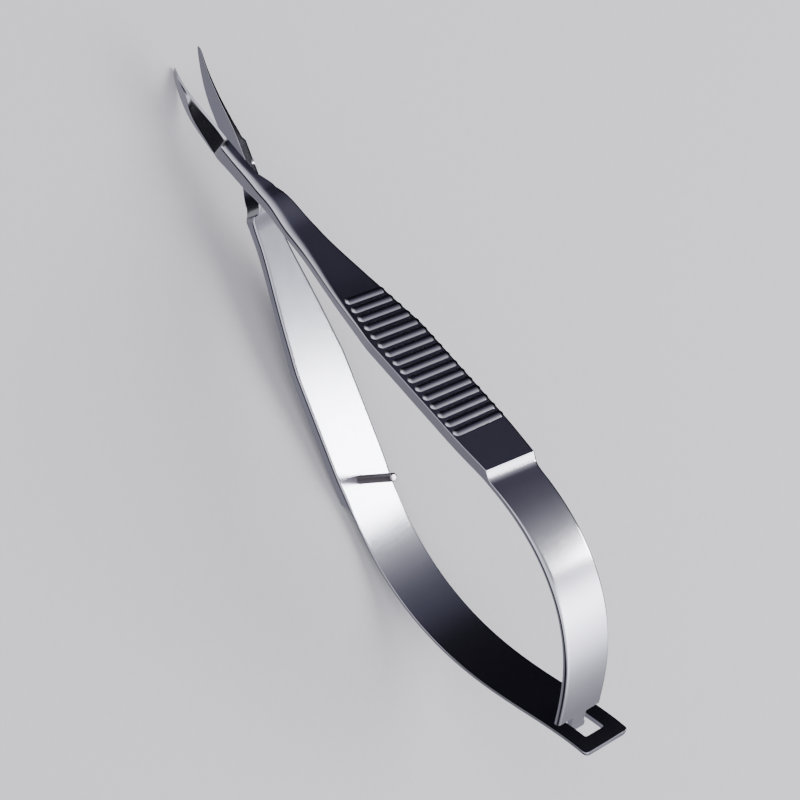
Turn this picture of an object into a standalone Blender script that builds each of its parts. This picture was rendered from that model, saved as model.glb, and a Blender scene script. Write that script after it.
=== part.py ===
"""Spring-handled nail scissors: two steel arms that cross at a screw, each ending in a thin leaf spring.

The near arm's leaf ends in a tongue that hooks through a window in the far arm's leaf.
Metres, +Z up. The scissors stand on the near blade's tip and on the step of the far arm.
In an arm's own frame X runs from the pivot to the tail, Y is the pivot's axis, and the arm's
outer face looks along +Z on the upper arm and along -Z on the lower one.
"""

import math

import bmesh
import bpy
from mathutils import Matrix, Vector

# Clearances
CLEARANCE = 0.0003
RUNNING_CLEARANCE = 0.00005
FLEX_CLEARANCE = 0.0004
OVERRUN = 0.001

# Arms
INNER_FACE = 0.00075
WAIST_THICKNESS = 0.0014
GRIP_THICKNESS = 0.0020
SHANK_WIDTH = 0.0042
GRIP_WIDTH = 0.0090
FLARE_LENGTH = 0.0220
EDGE_CHAMFER = 0.0002
SHANK_CHAMFER = 0.0005
STEP_RUN = 0.0022

# Lap at the pivot
LAP_INNER = 0.0012
LAP_OUTER = 0.0019
LAP_HEIGHT = 0.0017
LAP_REACH = 0.0056
SHOULDER_RUN = 0.0017
SHOULDER_DEPTH = 0.00145

# Blades
BLADE_LENGTH = 0.0176
BLADE_HALF_WIDTH = 0.0019
BLADE_SWEEP = 0.0014
SWEEP_START = 0.0090

# Ribs
RIB_PITCH = 0.0016867
RIB_WIDTH = 0.0011
RIB_HEIGHT = 0.00032
RIB_SINK = 0.0003
RIB_EDGE = 0.0003

# Leaf springs
LEAF_THICKNESS = 0.0008
LEAF_WIDTH = 0.0083
LEAF_CHAMFER = 0.0001

# Window and tongue: the neck crosses the far leaf a little beyond its shoulders, and the window
# reaches from a little before that crossing almost to the far leaf's end
NECK_CROSSING = 0.00152
WINDOW_BEFORE = 0.0010
WINDOW_BEYOND = 0.0024
WINDOW_LENGTH = 0.0046
WINDOW_WIDTH = 0.0035
WINDOW_CORNER = 0.0003
TAIL_CORNER = 0.0006
NECK_WIDTH = 0.0025
NECK_LENGTH = 0.0021
HEAD_WIDTH = 0.0031
HEAD_LENGTH = 0.0011

# Pivot screw
SCREW_RADIUS = 0.0007
SCREW_HEAD_RADIUS = 0.00125
SCREW_HEAD_DEPTH = 0.0006
SCREW_END_COVER = 0.0005
SCREW_SLOT_WIDTH = 0.0004
SCREW_SLOT_DEPTH = 0.0003

# Stop pin
PIN_RADIUS = 0.00065
PIN_PLACE = 0.0477
PIN_ACROSS = 0.0008
PIN_REACH = 0.0082
PIN_SINK = 0.0010
PIN_NOSE = 0.00025

# Blade rows: station, spine, cutting edge, height, ridge, land. Stations are shares of the blade's
# length, spine and edge of its half width, height and land of the lap's height, and the ridge is a
# share of the way from the spine to the edge, where the ground facet starts.
TONGUE_BLADE_SHARES = (
    (1.000, 0.98, 1.07, 0.12, 0.70, 0.09),
    (0.966, 0.62, 1.08, 0.18, 0.80, 0.11),
    (0.875, 0.24, 1.10, 0.26, 0.90, 0.14),
    (0.761, -0.09, 1.12, 0.36, 0.93, 0.16),
    (0.700, -0.23, 1.16, 0.43, 0.85, 0.17),
    (0.642, -0.31, 1.18, 0.52, 0.57, 0.17),
    (0.511, -0.41, 1.21, 0.71, 0.39, 0.18),
    (0.375, -0.51, 1.21, 0.84, 0.32, 0.20),
    (0.256, -0.58, 1.14, 0.93, 0.26, 0.24),
    (0.199, -0.56, 1.10, 0.98, 0.24, 0.30),
)
SLOTTED_BLADE_SHARES = (
    (1.000, 0.93, 1.02, 0.10, 0.70, 0.08),
    (0.966, 0.64, 1.05, 0.15, 0.80, 0.10),
    (0.875, 0.40, 1.08, 0.20, 0.90, 0.13),
    (0.761, 0.12, 1.12, 0.25, 0.93, 0.14),
    (0.700, -0.02, 1.16, 0.28, 0.80, 0.15),
    (0.642, -0.14, 1.18, 0.31, 0.52, 0.15),
    (0.511, -0.36, 1.21, 0.37, 0.34, 0.16),
    (0.375, -0.56, 1.21, 0.47, 0.28, 0.18),
    (0.256, -0.66, 1.14, 0.65, 0.24, 0.22),
    (0.199, -0.66, 1.10, 0.80, 0.22, 0.28),
)

# Lap rows: station as a share of the lap's reach, inner and outer edges as shares of theirs. From the
# ramp's row on, the outer edge slopes down to the bar's full width.
LAP_ROW_SHARES = (
    (-0.50, 1.02, 1.08),
    (-0.28, 1.00, 1.05),
    (0.00, 0.98, 1.00),
    (0.45, 0.96, 0.98),
    (0.80, 0.62, 0.93),
    (1.00, 0.44, 0.89),
)
RAMP_ROW_SHARE = 0.45

# Shank rows: station as a share of the flare, width as a share of the way from shank to grip,
# and thickness as a share of the way from waist to grip.
FLARE_ROW_SHARES = (
    (0.00, 0.00, 0.10),
    (0.14, 0.05, 0.02),
    (0.28, 0.19, 0.00),
    (0.46, 0.42, 0.00),
    (0.64, 0.65, 0.20),
    (0.82, 0.85, 0.55),
    (1.00, 1.00, 0.85),
)

# Each arm: where its flare, its ribs and its taper start, where its leaf is rooted, and how the leaf
# bows. A leaf's heading turns in by turn * (a t + b t^2 + c t^3), where t goes from 0 to 1 over the
# bow's length.
TONGUE_SIDE = {
    "side": 1.0,
    "blade_shares": TONGUE_BLADE_SHARES,
    "flare_start": 0.0129,
    "taper_start": 0.0520,
    "root": 0.0594,
    "root_width": 0.0084,
    "rib_start": 0.0272,
    "rib_inset": 0.0006,
    "ribs": 16,
    "bow_length": 0.0406,
    "leaf_turn": math.radians(80.042),
    "bow_shares": (0.772, 1.343, -1.115),
    "stub": 0.0030,
}
SLOTTED_SIDE = {
    "side": -1.0,
    "blade_shares": SLOTTED_BLADE_SHARES,
    "flare_start": 0.0088,
    "taper_start": 0.0450,
    "root": 0.04995,
    "root_width": 0.0086,
    "rib_start": 0.0238,
    "rib_inset": 0.0001,
    "ribs": 12,
    "bow_length": 0.0542,
    "leaf_turn": math.radians(49.217),
    "bow_shares": (1.534, 2.133, -2.667),
    "stub": 0.0070,
}


def clear_scene():
    """Removes what the scene holds."""
    for scene_object in list(bpy.data.objects):
        bpy.data.objects.remove(scene_object, do_unlink=True)


def new_collection(name):
    """Adds a collection under the scene's."""
    collection = bpy.data.collections.new(name)
    bpy.context.scene.collection.children.link(collection)
    return collection


def steel(name, color, roughness):
    """A stainless steel surface."""
    material = bpy.data.materials.new(name)
    material.use_nodes = True
    shader = material.node_tree.nodes["Principled BSDF"]
    shader.inputs["Base Color"].default_value = (*color, 1.0)
    shader.inputs["Metallic"].default_value = 1.0
    shader.inputs["Roughness"].default_value = roughness
    material.diffuse_color = (*color, 1.0)
    return material


def link_mesh(name, form, collection, material=None):
    """Turns a bmesh into an object of the collection."""
    bmesh.ops.recalc_face_normals(form, faces=form.faces)
    mesh = bpy.data.meshes.new(name)
    form.to_mesh(mesh)
    form.free()
    if material:
        mesh.materials.append(material)
    part = bpy.data.objects.new(name, mesh)
    collection.objects.link(part)
    return part


def hide_cutter(cutter):
    """Marks an object as a cutter."""
    cutter.hide_render = True
    cutter.display_type = "WIRE"


def boolean(part, cutter, operation):
    """Cuts a part with a cutter, or joins the cutter to it."""
    modifier = part.modifiers.new(cutter.name, "BOOLEAN")
    modifier.operation = operation
    modifier.solver = "EXACT"
    modifier.object = cutter


def place(side, station, outward, across):
    """A point of an arm, from its distances along, outward and towards the visible side."""
    return Vector((station, -across, side * outward))


def loft(rings):
    """A closed form through rings that have the same number of points."""
    form = bmesh.new()
    rows = [[form.verts.new(point) for point in ring] for ring in rings]
    for row, following in zip(rows, rows[1:]):
        for index in range(len(row)):
            other = (index + 1) % len(row)
            form.faces.new((row[index], row[other], following[other], following[index]))
    form.faces.new(rows[0])
    form.faces.new(reversed(rows[-1]))
    return form


def mating_height(station, outward):
    """The surface on which the blades slide, flat round the pivot and swept down towards the tips."""
    reach = math.hypot(station, outward)
    share = max(0.0, reach - SWEEP_START) / (BLADE_LENGTH - SWEEP_START)
    return -BLADE_SWEEP * share * share


def ramp_dip(station):
    """How far the outer edge of the lap and the shoulder has sloped down at a station."""
    start = RAMP_ROW_SHARE * LAP_REACH
    share = (station - start) / (LAP_REACH + SHOULDER_RUN - start)
    return max(0.0, share) * (SHOULDER_DEPTH + CLEARANCE / 2)


def half_ring(side, station, spine, edge, height, ridge, land, chamfer):
    """A section of a half that slides on the other one: eight points over the mating surface."""
    low = CLEARANCE / 2
    dip = ramp_dip(station)
    corners = (
        (spine + chamfer, low),
        (edge - chamfer, low - dip),
        (edge, low + chamfer - dip),
        (edge, low + land),
        (ridge, low + height),
        (spine + chamfer, low + height),
        (spine, low + height - chamfer),
        (spine, low + chamfer),
    )
    return [
        place(side, station, outward, mating_height(station, outward) + side * rise)
        for outward, rise in corners
    ]


def blade_rings(arm):
    """The blade's sections, from its tip to the end of the ground facet."""
    rings = []
    for row in arm["blade_shares"]:
        station_share, spine_share, edge_share, height_share, ridge_share, land_share = row
        spine = spine_share * BLADE_HALF_WIDTH
        edge = edge_share * BLADE_HALF_WIDTH
        height = height_share * LAP_HEIGHT
        chamfer = min(EDGE_CHAMFER, height / 4, (edge - spine) / 5)
        ridge = max(spine + 2 * chamfer, spine + ridge_share * (edge - spine))
        land = max(2 * chamfer, land_share * LAP_HEIGHT)
        station = -station_share * BLADE_LENGTH
        rings.append(half_ring(arm["side"], station, spine, edge, height, ridge, land, chamfer))
    return rings


def lap_rings(side):
    """The lap's sections, from behind the ground facet to the shoulder."""
    rings = []
    for station_share, inner_share, outer_share in LAP_ROW_SHARES:
        inner = -inner_share * LAP_INNER
        outer = outer_share * LAP_OUTER
        land = LAP_HEIGHT - SHANK_CHAMFER
        ridge = outer - SHANK_CHAMFER
        station = station_share * LAP_REACH
        rings.append(half_ring(side, station, inner, outer, LAP_HEIGHT, ridge, land, EDGE_CHAMFER))
    return rings


def bar_ring(side, station, inner, outer, low_inner, low_outer, high, round_chamfer):
    """A section of the full bar: chamfered corners, with the outer one on the arm's own side rounder."""
    corners = (
        (inner + EDGE_CHAMFER, low_inner),
        (outer - EDGE_CHAMFER, low_outer),
        (outer, low_outer + EDGE_CHAMFER),
        (outer, high - round_chamfer),
        (outer - round_chamfer, high),
        (inner + EDGE_CHAMFER, high),
        (inner, high - EDGE_CHAMFER),
        (inner, low_inner + EDGE_CHAMFER),
    )
    return [place(side, station, outward, side * rise) for outward, rise in corners]


def shoulder_rings(side):
    """The shoulder, where the half grows into the full bar: hollow inside, a straight ramp outside."""
    rings = []
    inner = -LAP_ROW_SHARES[-1][1] * LAP_INNER
    outer = LAP_ROW_SHARES[-1][2] * LAP_OUTER
    drop = SHOULDER_DEPTH + CLEARANCE / 2
    high = CLEARANCE / 2 + LAP_HEIGHT
    steps = 5
    for step in range(1, steps + 1):
        turn = math.radians(90) * step / steps
        station = LAP_REACH + SHOULDER_RUN * math.sin(turn)
        low_inner = CLEARANCE / 2 - drop * (1 - math.cos(turn))
        low_outer = CLEARANCE / 2 - ramp_dip(station)
        rings.append(bar_ring(side, station, inner, outer, low_inner, low_outer, high, SHANK_CHAMFER))
    return rings


def flare_rings(arm):
    """The shank and its flare into the grip."""
    rings = []
    for station_share, width_share, thickness_share in FLARE_ROW_SHARES:
        station = arm["flare_start"] + station_share * FLARE_LENGTH
        half_width = (SHANK_WIDTH + width_share * (GRIP_WIDTH - SHANK_WIDTH)) / 2
        thickness = WAIST_THICKNESS + thickness_share * (GRIP_THICKNESS - WAIST_THICKNESS)
        chamfer = SHANK_CHAMFER + station_share * (EDGE_CHAMFER - SHANK_CHAMFER)
        rings.append(bar_ring(arm["side"], station, -INNER_FACE, thickness - INNER_FACE,
                              -half_width, -half_width, half_width, chamfer))
    return rings


def leaf_path(arm, distance):
    """The leaf's inner face at a distance from its root: station, outward and heading."""
    first, second, third = arm["bow_shares"]
    steps = 160
    station = arm["root"]
    outward = -INNER_FACE
    heading = 0.0
    for step in range(steps):
        share = (step + 0.5) / steps * distance / arm["bow_length"]
        heading = -arm["leaf_turn"] * share * (first + share * (second + share * third))
        station += math.cos(heading) * distance / steps
        outward += math.sin(heading) * distance / steps
    share = distance / arm["bow_length"]
    heading = -arm["leaf_turn"] * share * (first + share * (second + share * third))
    return station, outward, heading


def leaf_middle(arm, distance):
    """The leaf's middle surface at a distance from its root: station, outward and heading."""
    station, outward, heading = leaf_path(arm, distance)
    station -= math.sin(heading) * LEAF_THICKNESS / 2
    outward += math.cos(heading) * LEAF_THICKNESS / 2
    return station, outward, heading


def hooked_leaves():
    """Where the tongue's neck crosses the far leaf, and the angle at which that holds the arms open.

    The neck and the far leaf cross where both are as far from the pivot.
    """
    station, outward, heading = leaf_middle(TONGUE_SIDE, TONGUE_SIDE["bow_length"] + NECK_CROSSING)
    reach = math.hypot(station, outward)
    near_angle = math.atan2(outward, station)
    low = 0.0
    high = 2 * SLOTTED_SIDE["bow_length"]
    steps = 60
    for step in range(steps):
        crossing = (low + high) / 2
        station, outward, heading = leaf_middle(SLOTTED_SIDE, crossing)
        if math.hypot(station, outward) < reach:
            low = crossing
        else:
            high = crossing
    return crossing, -near_angle - math.atan2(outward, station)


def bent_ring(arm, distance, thickness, half_width, chamfer):
    """A section square to the leaf's path, on which it stands with its inner face."""
    station, outward, heading = leaf_path(arm, distance)
    corners = (
        (chamfer, -half_width),
        (thickness - chamfer, -half_width),
        (thickness, chamfer - half_width),
        (thickness, half_width - chamfer),
        (thickness - chamfer, half_width),
        (chamfer, half_width),
        (0.0, half_width - chamfer),
        (0.0, chamfer - half_width),
    )
    return [
        place(arm["side"], station - math.sin(heading) * rise, outward + math.cos(heading) * rise,
              arm["side"] * across)
        for rise, across in corners
    ]


def grip_rings(arm):
    """The grip's straight bar, its taper, the step down to the leaf and the leaf's stub."""
    rings = []
    for station, width in ((arm["taper_start"], GRIP_WIDTH), (arm["root"], arm["root_width"])):
        rings.append(bar_ring(arm["side"], station, -INNER_FACE, GRIP_THICKNESS - INNER_FACE,
                              -width / 2, -width / 2, width / 2, EDGE_CHAMFER))
    drop = GRIP_THICKNESS - LEAF_THICKNESS
    steps = 6
    for step in range(1, steps + 1):
        turn = math.radians(90) * step / steps
        distance = STEP_RUN * (1 - math.cos(turn))
        thickness = GRIP_THICKNESS - drop * math.sin(turn)
        half_width = (arm["root_width"] + (LEAF_WIDTH - arm["root_width"]) * step / steps) / 2
        chamfer = EDGE_CHAMFER + (LEAF_CHAMFER - EDGE_CHAMFER) * step / steps
        rings.append(bent_ring(arm, distance, thickness, half_width, chamfer))
    stub_end = arm["stub"] - FLEX_CLEARANCE / 2
    steps = max(1, round((stub_end - STEP_RUN) / GRIP_THICKNESS))
    for step in range(1, steps + 1):
        distance = STEP_RUN + (stub_end - STEP_RUN) * step / steps
        rings.append(bent_ring(arm, distance, LEAF_THICKNESS, LEAF_WIDTH / 2, LEAF_CHAMFER))
    return rings


def grip_half_width(arm, station):
    """Half the arm's width at a station of its flare or grip."""
    share = (station - arm["flare_start"]) / FLARE_LENGTH
    for row, following in zip(FLARE_ROW_SHARES, FLARE_ROW_SHARES[1:]):
        if row[0] <= share <= following[0]:
            part = (share - row[0]) / (following[0] - row[0])
            width_share = row[1] + part * (following[1] - row[1])
            return (SHANK_WIDTH + width_share * (GRIP_WIDTH - SHANK_WIDTH)) / 2
    return GRIP_WIDTH / 2


def outer_face(arm, station):
    """How far out the arm's outer face lies at a station of its flare or grip."""
    share = (station - arm["flare_start"]) / FLARE_LENGTH
    rows = FLARE_ROW_SHARES + ((2.0, 1.0, 1.0),)
    for row, following in zip(rows, rows[1:]):
        if row[0] <= share <= following[0]:
            end = following[0]
            if following is rows[-1]:
                end = (arm["taper_start"] - arm["flare_start"]) / FLARE_LENGTH
            part = min(1.0, (share - row[0]) / (end - row[0]))
            thickness_share = row[2] + part * (following[2] - row[2])
            return WAIST_THICKNESS + thickness_share * (GRIP_THICKNESS - WAIST_THICKNESS) - INNER_FACE
    return GRIP_THICKNESS - INNER_FACE


def rib_cutter(arm, name, collection):
    """All ribs of a grip: bars with a round top, square to the grip and rounded at their ends."""
    form = bmesh.new()
    for index in range(arm["ribs"]):
        station = arm["rib_start"] + index * RIB_PITCH
        half_width = grip_half_width(arm, station)
        inset = arm["rib_inset"] * (1 - index / (arm["ribs"] - 1)) + RIB_EDGE
        visible_end = half_width - inset
        hidden_end = -half_width + RIB_EDGE
        length = visible_end - hidden_end
        bar = bmesh.ops.create_uvsphere(form, u_segments=12, v_segments=8, radius=RIB_WIDTH / 2)
        foot = outer_face(arm, station) - RIB_SINK
        for vertex in bar["verts"]:
            along, across, rise = vertex.co
            stretch = (length - RIB_WIDTH) / 2
            across += math.copysign(stretch, across) if abs(across) > RIB_EDGE / 9 else 0.0
            height = rise / (RIB_WIDTH / 2) * (RIB_HEIGHT + RIB_SINK)
            middle = (visible_end + hidden_end) / 2
            vertex.co = place(arm["side"], station + along, foot + height, middle - across)
    cutter = link_mesh(name, form, collection)
    hide_cutter(cutter)
    return cutter


def cylinder_cutter(name, collection, radius, length, matrix):
    """A round cutter."""
    form = bmesh.new()
    bmesh.ops.create_cone(form, cap_ends=True, segments=32, radius1=radius, radius2=radius,
                          depth=length, matrix=matrix)
    cutter = link_mesh(name, form, collection)
    hide_cutter(cutter)
    return cutter


def arm_object(arm, name, parts, material, parent):
    """An arm from its blade's tip to its leaf's stub, as one forging."""
    rings = blade_rings(arm)
    rings += lap_rings(arm["side"])
    rings += shoulder_rings(arm["side"])
    rings += flare_rings(arm)
    rings += grip_rings(arm)
    part = link_mesh(name, loft(rings), parts, material)
    part.parent = parent
    return part


def leaf_sheet(arm, start, end):
    """The leaf's sheet on its middle surface, as an open strip bent along the leaf's path."""
    form = bmesh.new()
    rows = []
    steps = round((end - start) / (2 * GRIP_THICKNESS)) + 6
    for step in range(steps + 1):
        station, outward, heading = leaf_middle(arm, start + (end - start) * step / steps)
        rows.append([form.verts.new(place(arm["side"], station, outward, across))
                     for across in (-LEAF_WIDTH / 2, LEAF_WIDTH / 2)])
    for row, following in zip(rows, rows[1:]):
        form.faces.new((row[0], row[1], following[1], following[0]))
    return form


def thicken(part):
    """Gives a sheet the leaf's thickness."""
    solidify = part.modifiers.new("leaf_thickness", "SOLIDIFY")
    solidify.thickness = LEAF_THICKNESS
    solidify.offset = 0.0
    solidify.use_even_offset = True


def soften(part):
    """Breaks a leaf's sharp edges."""
    bevel = part.modifiers.new("edge_break", "BEVEL")
    bevel.width = LEAF_CHAMFER
    bevel.segments = 1
    bevel.limit_method = "ANGLE"
    bevel.angle_limit = math.radians(50)


def hinge_point(arm):
    """The middle of the leaf where it is taken to bend."""
    station, outward, heading = leaf_middle(arm, arm["stub"])
    return place(arm["side"], station, outward, 0.0)


def path_frame(arm, distance):
    """A frame on the leaf's middle: X along it, Y across it, Z through its thickness."""
    station, outward, heading = leaf_middle(arm, distance)
    along = place(arm["side"], math.cos(heading), math.sin(heading), 0.0)
    across = Vector((0.0, 1.0, 0.0))
    frame = Matrix((along, across, along.cross(across))).transposed().to_4x4()
    frame.translation = place(arm["side"], station, outward, 0.0)
    return frame


def flat_cutter(name, collection, outline, frame):
    """A cutter that stands through a leaf, from an outline on the leaf's middle surface."""
    form = bmesh.new()
    depth = LEAF_THICKNESS / 2 + OVERRUN
    verts = [form.verts.new((x, y, -depth)) for x, y in outline]
    base = form.faces.new(verts)
    raised = bmesh.ops.extrude_face_region(form, geom=[base])
    moved = [item for item in raised["geom"] if isinstance(item, bmesh.types.BMVert)]
    bmesh.ops.translate(form, verts=moved, vec=(0.0, 0.0, 2 * depth))
    bmesh.ops.transform(form, matrix=frame, verts=form.verts)
    cutter = link_mesh(name, form, collection)
    hide_cutter(cutter)
    return cutter


def rounded_rectangle(start, end, half_width, radius, steps=3):
    """The corners of a rectangle with rounded corners."""
    points = []
    centers = (
        (end - radius, half_width - radius, 0),
        (start + radius, half_width - radius, 90),
        (start + radius, radius - half_width, 180),
        (end - radius, radius - half_width, 270),
    )
    for x, y, first in centers:
        for step in range(steps + 1):
            turn = math.radians(first + 90 * step / steps)
            points.append((x + radius * math.cos(turn), y + radius * math.sin(turn)))
    return points


def round_corners(part):
    """Rounds the two corners at the sheet's free end."""
    corners = part.vertex_groups.new(name="free_corners")
    corners.add([len(part.data.vertices) - 2, len(part.data.vertices) - 1], 1.0, "REPLACE")
    rounding = part.modifiers.new("corner_rounding", "BEVEL")
    rounding.affect = "VERTICES"
    rounding.width = TAIL_CORNER
    rounding.segments = 3
    rounding.limit_method = "VGROUP"
    rounding.vertex_group = corners.name


def leaf_object(arm, name, end, parts, material, parent):
    """A leaf spring's sheet from its hinge line on, with its origin there."""
    form = leaf_sheet(arm, arm["stub"] + FLEX_CLEARANCE / 2, end)
    origin = hinge_point(arm)
    bmesh.ops.translate(form, verts=form.verts, vec=-origin)
    part = link_mesh(name, form, parts, material)
    part.parent = parent
    part.location = origin
    return part


def tongue_arm(parts, cutters, parent):
    """The near arm: the blade over the mating surface, the longer grip and sixteen ribs."""
    arm = TONGUE_SIDE
    finish = steel("satin_steel_tongue_arm", (0.42, 0.42, 0.45), 0.35)
    part = arm_object(arm, "tongue_arm", parts, finish, parent)
    ribs = rib_cutter(arm, "tongue_ribs", cutters)
    ribs.parent = parent
    boolean(part, ribs, "UNION")
    length = LAP_HEIGHT - SCREW_END_COVER + OVERRUN
    top = CLEARANCE / 2 + LAP_HEIGHT - SCREW_END_COVER
    bore = cylinder_cutter("screw_thread_bore", cutters, SCREW_RADIUS + RUNNING_CLEARANCE, length,
                           Matrix.Translation(place(1.0, 0.0, 0.0, top - length / 2))
                           @ Matrix.Rotation(math.radians(90), 4, "X"))
    bore.parent = parent
    boolean(part, bore, "DIFFERENCE")
    return part


def slotted_arm(parts, cutters, parent):
    """The far arm: the blade under the mating surface, and the seats of the screw and the stop pin."""
    arm = SLOTTED_SIDE
    finish = steel("satin_steel_slotted_arm", (0.44, 0.44, 0.47), 0.33)
    part = arm_object(arm, "slotted_arm", parts, finish, parent)
    ribs = rib_cutter(arm, "slotted_ribs", cutters)
    ribs.parent = parent
    boolean(part, ribs, "UNION")
    turn = Matrix.Rotation(math.radians(90), 4, "X")
    length = LAP_HEIGHT + CLEARANCE + 2 * OVERRUN
    bore = cylinder_cutter("screw_bore", cutters, SCREW_RADIUS + RUNNING_CLEARANCE, length,
                           Matrix.Translation(place(-1.0, 0.0, 0.0, -length / 2 + OVERRUN)) @ turn)
    bottom = -CLEARANCE / 2 - LAP_HEIGHT
    sink_radius = SCREW_HEAD_RADIUS + RUNNING_CLEARANCE
    sink_middle = place(-1.0, 0.0, 0.0, bottom + (SCREW_HEAD_DEPTH - OVERRUN) / 2)
    sink = cylinder_cutter("screw_head_seat", cutters, sink_radius, SCREW_HEAD_DEPTH + OVERRUN,
                           Matrix.Translation(sink_middle) @ turn)
    pin_middle = place(-1.0, PIN_PLACE, -INNER_FACE + (PIN_SINK - OVERRUN) / 2, PIN_ACROSS)
    pin_seat = cylinder_cutter("pin_seat", cutters, PIN_RADIUS + RUNNING_CLEARANCE, PIN_SINK + OVERRUN,
                               Matrix.Translation(pin_middle))
    for cutter in (bore, sink, pin_seat):
        cutter.parent = parent
        boolean(part, cutter, "DIFFERENCE")
    return part


def tongue_leaf(parts, cutters, parent):
    """The near leaf spring: it ends in square shoulders and a tongue with a wider head."""
    arm = TONGUE_SIDE
    tongue_end = arm["bow_length"] + NECK_LENGTH + HEAD_LENGTH
    finish = steel("satin_steel_tongue_leaf", (0.45, 0.45, 0.48), 0.32)
    part = leaf_object(arm, "tongue_leaf", tongue_end, parts, finish, parent)
    thicken(part)
    frame = path_frame(arm, arm["bow_length"])
    head_start = NECK_LENGTH
    head_end = NECK_LENGTH + HEAD_LENGTH
    reach = LEAF_WIDTH / 2 + OVERRUN
    for sign, cutter_name in ((1.0, "shoulder_cut_hidden"), (-1.0, "shoulder_cut_visible")):
        outline = [
            (0.0, sign * NECK_WIDTH / 2),
            (head_start, sign * NECK_WIDTH / 2),
            (head_start + (HEAD_WIDTH - NECK_WIDTH) / 2, sign * HEAD_WIDTH / 2),
            (head_end + OVERRUN, sign * HEAD_WIDTH / 2),
            (head_end + OVERRUN, sign * reach),
            (0.0, sign * reach),
        ]
        cutter = flat_cutter(cutter_name, cutters, outline, frame)
        cutter.parent = parent
        boolean(part, cutter, "DIFFERENCE")
    soften(part)
    return part


def slotted_leaf(parts, cutters, parent, crossing):
    """The far leaf spring: it ends square, with a window for the tongue."""
    arm = SLOTTED_SIDE
    middle = crossing - WINDOW_BEFORE + WINDOW_LENGTH / 2
    leaf_end = middle + WINDOW_LENGTH / 2 + WINDOW_BEYOND
    finish = steel("satin_steel_slotted_leaf", (0.43, 0.43, 0.46), 0.32)
    part = leaf_object(arm, "slotted_leaf", leaf_end, parts, finish, parent)
    round_corners(part)
    thicken(part)
    outline = rounded_rectangle(-WINDOW_LENGTH / 2, WINDOW_LENGTH / 2, WINDOW_WIDTH / 2, WINDOW_CORNER)
    window = flat_cutter("window_cut", cutters, outline, path_frame(arm, middle))
    window.parent = parent
    boolean(part, window, "DIFFERENCE")
    soften(part)
    return part


def pivot_screw(parts, cutters, parent):
    """The screw that holds the lap, turned from a profile, with its head in the far arm's seat."""
    bottom = -CLEARANCE / 2 - LAP_HEIGHT + RUNNING_CLEARANCE
    top = CLEARANCE / 2 + LAP_HEIGHT - SCREW_END_COVER - RUNNING_CLEARANCE
    neck = bottom + SCREW_HEAD_DEPTH - 2 * RUNNING_CLEARANCE
    chamfer = SCREW_RADIUS / 5
    profile = (
        (0.0, top),
        (SCREW_RADIUS - chamfer, top),
        (SCREW_RADIUS, top - chamfer),
        (SCREW_RADIUS, neck),
        (SCREW_HEAD_RADIUS, neck),
        (SCREW_HEAD_RADIUS, bottom),
        (0.0, bottom),
    )
    form = bmesh.new()
    verts = [form.verts.new((radius, 0.0, rise)) for radius, rise in profile]
    for vertex, following in zip(verts, verts[1:]):
        form.edges.new((vertex, following))
    part = link_mesh("pivot_screw", form, parts, steel("screw_steel", (0.38, 0.38, 0.40), 0.3))
    screw = part.modifiers.new("turning", "SCREW")
    screw.steps = 32
    screw.render_steps = 32
    screw.use_merge_vertices = True
    screw.merge_threshold = 0.00001
    part.parent = parent
    part.rotation_euler = (math.radians(90), 0.0, 0.0)
    slot_form = bmesh.new()
    size = Matrix.Diagonal((2 * SCREW_HEAD_RADIUS + OVERRUN, SCREW_SLOT_WIDTH, 2 * SCREW_SLOT_DEPTH, 1.0))
    bmesh.ops.create_cube(slot_form, size=1.0, matrix=Matrix.Translation((0.0, 0.0, bottom)) @ size)
    slot = link_mesh("screwdriver_slot", slot_form, cutters)
    hide_cutter(slot)
    slot.parent = part
    boolean(part, slot, "DIFFERENCE")
    return part


def stop_pin(parts, parent):
    """The pin that stops the grips, turned from a profile, standing on the far arm's inner face."""
    foot = -PIN_SINK + 2 * RUNNING_CLEARANCE
    profile = (
        (0.0, PIN_REACH),
        (PIN_RADIUS - PIN_NOSE, PIN_REACH),
        (PIN_RADIUS - PIN_NOSE / 3, PIN_REACH - PIN_NOSE / 3),
        (PIN_RADIUS, PIN_REACH - PIN_NOSE),
        (PIN_RADIUS, foot),
        (0.0, foot),
    )
    form = bmesh.new()
    verts = [form.verts.new((radius, 0.0, rise)) for radius, rise in profile]
    for vertex, following in zip(verts, verts[1:]):
        form.edges.new((vertex, following))
    part = link_mesh("stop_pin", form, parts, steel("pin_steel", (0.30, 0.28, 0.30), 0.3))
    screw = part.modifiers.new("turning", "SCREW")
    screw.steps = 24
    screw.render_steps = 24
    screw.use_merge_vertices = True
    screw.merge_threshold = 0.00001
    part.parent = parent
    part.location = place(-1.0, PIN_PLACE, -INNER_FACE, PIN_ACROSS)
    return part


def resting_tilt(open_angle):
    """How far the far arm slopes down to its tail when the near tip and the far step touch the floor."""
    station_share, spine_share = TONGUE_BLADE_SHARES[1][:2]
    tip_station = -station_share * BLADE_LENGTH
    tip_spine = spine_share * BLADE_HALF_WIDTH
    tip_along = tip_station * math.cos(open_angle) - tip_spine * math.sin(open_angle)
    tip_up = tip_station * math.sin(open_angle) + tip_spine * math.cos(open_angle)
    step_up = INNER_FACE - GRIP_THICKNESS
    return math.atan2(step_up - tip_up, SLOTTED_SIDE["root"] - tip_along)


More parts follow.
